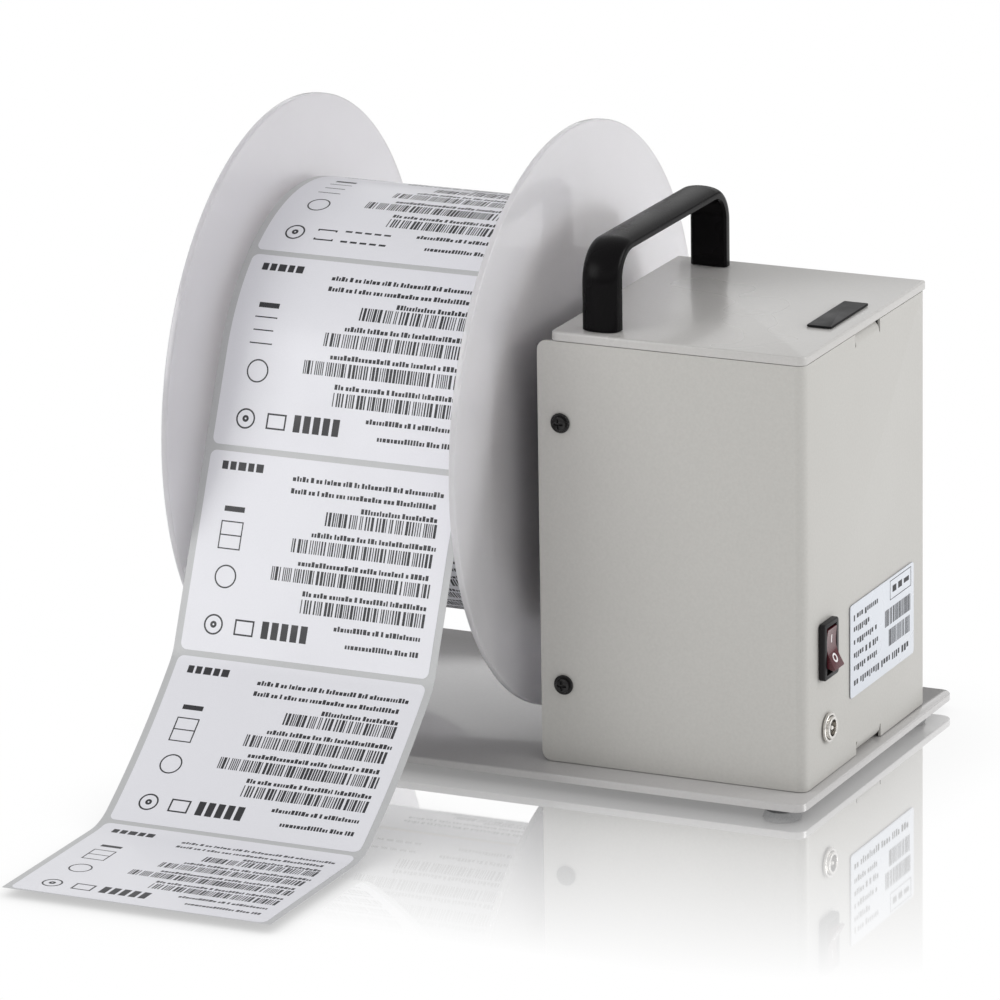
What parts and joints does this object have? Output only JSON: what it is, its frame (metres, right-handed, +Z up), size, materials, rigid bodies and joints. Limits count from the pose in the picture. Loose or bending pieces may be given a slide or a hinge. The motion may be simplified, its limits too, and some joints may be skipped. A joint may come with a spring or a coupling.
{
  "type": "label rewinder",
  "caption": "Bench machine with a motor housing that turns a spindle between two large translucent flanges, winding a hanging strip of labels onto a roll.",
  "frame": {"origin": "centre of the bounding box, on the table under the feet", "axes": "+X along the spindle from the roll to the housing, -Y the front where the strip hangs, +Z up"},
  "size_m": [0.2815, 0.3966, 0.2552],
  "materials": {
    "base_enamel": "light grey baked enamel, glossy",
    "foot_rubber": "moulded black rubber",
    "cover_enamel": "warm grey textured powder coat",
    "lid_enamel": "warm grey textured powder coat",
    "plated_sheet": "zinc-plated sheet",
    "badge_black": "blank black plate",
    "handle_black": "satin black",
    "screw_black": "blackened steel",
    "flange_acrylic": "polished translucent milky acrylic",
    "hub_plastic": "moulded black plastic",
    "ground_steel": "ground",
    "core_board": "brown paper board",
    "label_paper": "white paper labels on pale liner",
    "block_alloy": "machined",
    "bearing_steel": "polished",
    "gear_acetal": "cream moulded acetal",
    "pinion_brass": "machined",
    "gearbox_zinc": "die-cast, grey",
    "motor_steel": "drawn can",
    "switch_black": "moulded black",
    "rocker_red": "dark red moulded",
    "jack_black": "moulded black",
    "jack_nickel": "nickel plated",
    "sticker_white": "printed film",
    "board_green": "circuit board",
    "standoff_brass": "machined",
    "capacitor_sleeve": "dark blue sleeve",
    "heatsink_alloy": "black anodised",
    "connector_nylon": "white nylon"
  },
  "bodies": {
    "chassis": {"base_plate": "base_enamel", "bearing_block": "block_alloy", "bearing_inner": "bearing_steel", "bearing_outer": "bearing_steel", "bearing_spacer": "block_alloy", "block_screw_lower_back": "screw_black", "block_screw_lower_front": "screw_black", "block_screw_upper_back": "screw_black", "block_screw_upper_front": "screw_black", "board_capacitor": "capacitor_sleeve", "board_connector": "connector_nylon", "carry_handle": "handle_black", "control_board": "board_green", "cover_screw_back_lower": "screw_black", "cover_screw_back_upper": "screw_black", "cover_screw_front_lower": "screw_black", "cover_screw_front_upper": "screw_black", "driver_heatsink": "heatsink_alloy", "foot_back_left": "foot_rubber", "foot_back_right": "foot_rubber", "foot_front_left": "foot_rubber", "foot_front_right": "foot_rubber", "handle_screw_back": "screw_black", "handle_screw_front": "screw_black", "housing_cover": "cover_enamel", "jack_nut": "jack_nickel", "label_web": "label_paper", "lid_badge": "badge_black", "motor_bracket": "plated_sheet", "motor_can": "motor_steel", "motor_gearbox": "gearbox_zinc", "power_jack": "jack_black", "rating_label": "sticker_white", "side_frame": "plated_sheet", "standoff_back_left": "standoff_brass", "standoff_back_right": "standoff_brass", "standoff_front_left": "standoff_brass", "standoff_front_right": "standoff_brass", "switch_housing": "switch_black", "top_lid": "lid_enamel"},
    "spool": {"spindle_shaft": "ground_steel", "core_mandrel": "hub_plastic", "paper_core": "core_board", "label_roll": "label_paper", "inner_flange": "flange_acrylic", "inner_flange_hub": "hub_plastic", "spindle_gear": "gear_acetal", "spindle_collar": "ground_steel"},
    "outer_flange": {"outer_flange": "flange_acrylic", "outer_flange_hub": "hub_plastic"},
    "lock_screw": {"lock_screw": "screw_black"},
    "pinion": {"drive_pinion": "pinion_brass"},
    "rocker": {"power_rocker": "rocker_red"}
  },
  "joints": [
    {"name": "spindle_turn", "type": "hinge", "parent": "chassis", "child": "spool", "pos_m": [0.02005, 0.07827, 0.1352], "axis": [1, 0, 0], "continuous": true},
    {"name": "flange_slide", "type": "slide", "parent": "spool", "child": "outer_flange", "axis": [-1, 0, 0], "range_m": [0, 0.018]},
    {"name": "lock_screw_turn", "type": "hinge", "parent": "outer_flange", "child": "lock_screw", "pos_m": [-0.13035, 0.07827, 0.1352], "axis": [0, 0, 1], "range_deg": [0, 720]},
    {"name": "pinion_turn", "type": "hinge", "parent": "chassis", "child": "pinion", "pos_m": [0.06505, 0.07827, 0.0952], "axis": [1, 0, 0], "continuous": true},
    {"name": "rocker_tilt", "type": "hinge", "parent": "chassis", "child": "rocker", "pos_m": [0.13585, 0.03457, 0.0622], "axis": [0, 1, 0], "range_deg": [0, 22]}
  ],
  "couplings": [
    {"joint": "pinion_turn", "follows": "spindle_turn", "ratio": -3}
  ]
}
